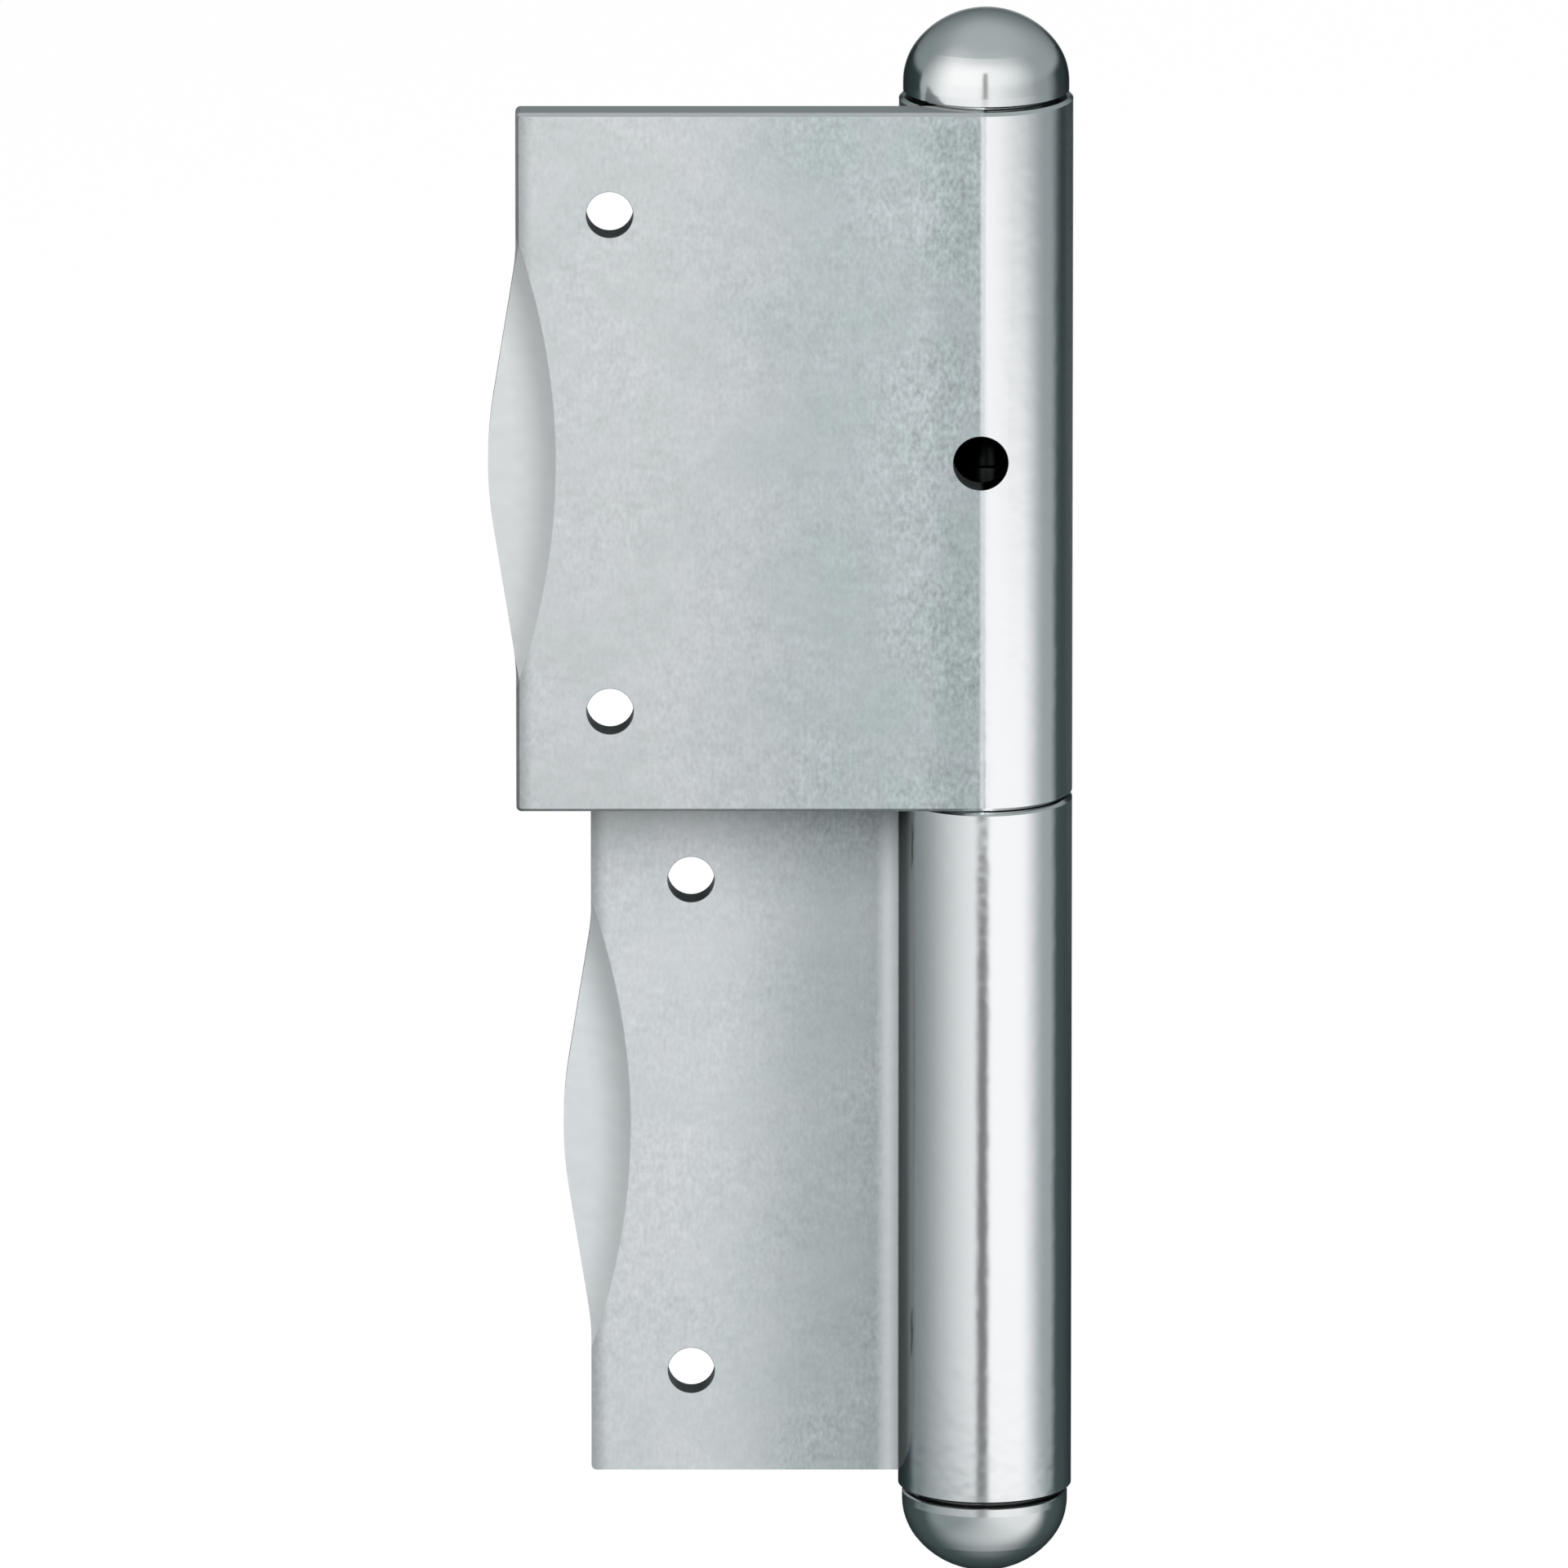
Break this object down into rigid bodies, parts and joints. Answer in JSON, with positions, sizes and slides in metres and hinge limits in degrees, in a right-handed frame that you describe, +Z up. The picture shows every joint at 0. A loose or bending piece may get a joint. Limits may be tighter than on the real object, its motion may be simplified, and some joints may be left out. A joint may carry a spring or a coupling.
{
  "type": "window hinge",
  "caption": "Lift-off mortise window hinge: unequal rolled steel leaves with bellied leading edges turn about a headed pin, under domed ends, with an oil hole in the upper knuckle.",
  "frame": {"origin": "midway between the two fixing holes of the lower leaf, the one fixed to the window frame, on its front face", "axes": "+Z up along the pin, so that the upper leaf lifts off that way; -Y is the side the barrel and the upper leaf stand out on; -X runs along the leaves from the pin to their leading edges as the part rests"},
  "size_m": [0.0436, 0.013, 0.12],
  "materials": {
    "leaf_zinc": "bright zinc plating over rolled sheet, finely mottled on the flats and smooth on the rolled knuckles",
    "head_zinc": "bright zinc plating over turned steel"
  },
  "bodies": {
    "frame_side": {"lower_leaf": "leaf_zinc", "hinge_pin": "head_zinc"},
    "lifting_axis": {"top_plug": "head_zinc"},
    "sash_side": {"upper_leaf": "leaf_zinc"}
  },
  "joints": [
    {"name": "lift_off", "type": "slide", "parent": "frame_side", "child": "lifting_axis", "axis": [0, 0, 1], "range_m": [0, 0.026]},
    {"name": "swing", "type": "hinge", "parent": "lifting_axis", "child": "sash_side", "pos_m": [0.022, -0.004, 0.05355], "axis": [0, 0, 1], "range_deg": [0, 180]}
  ]
}
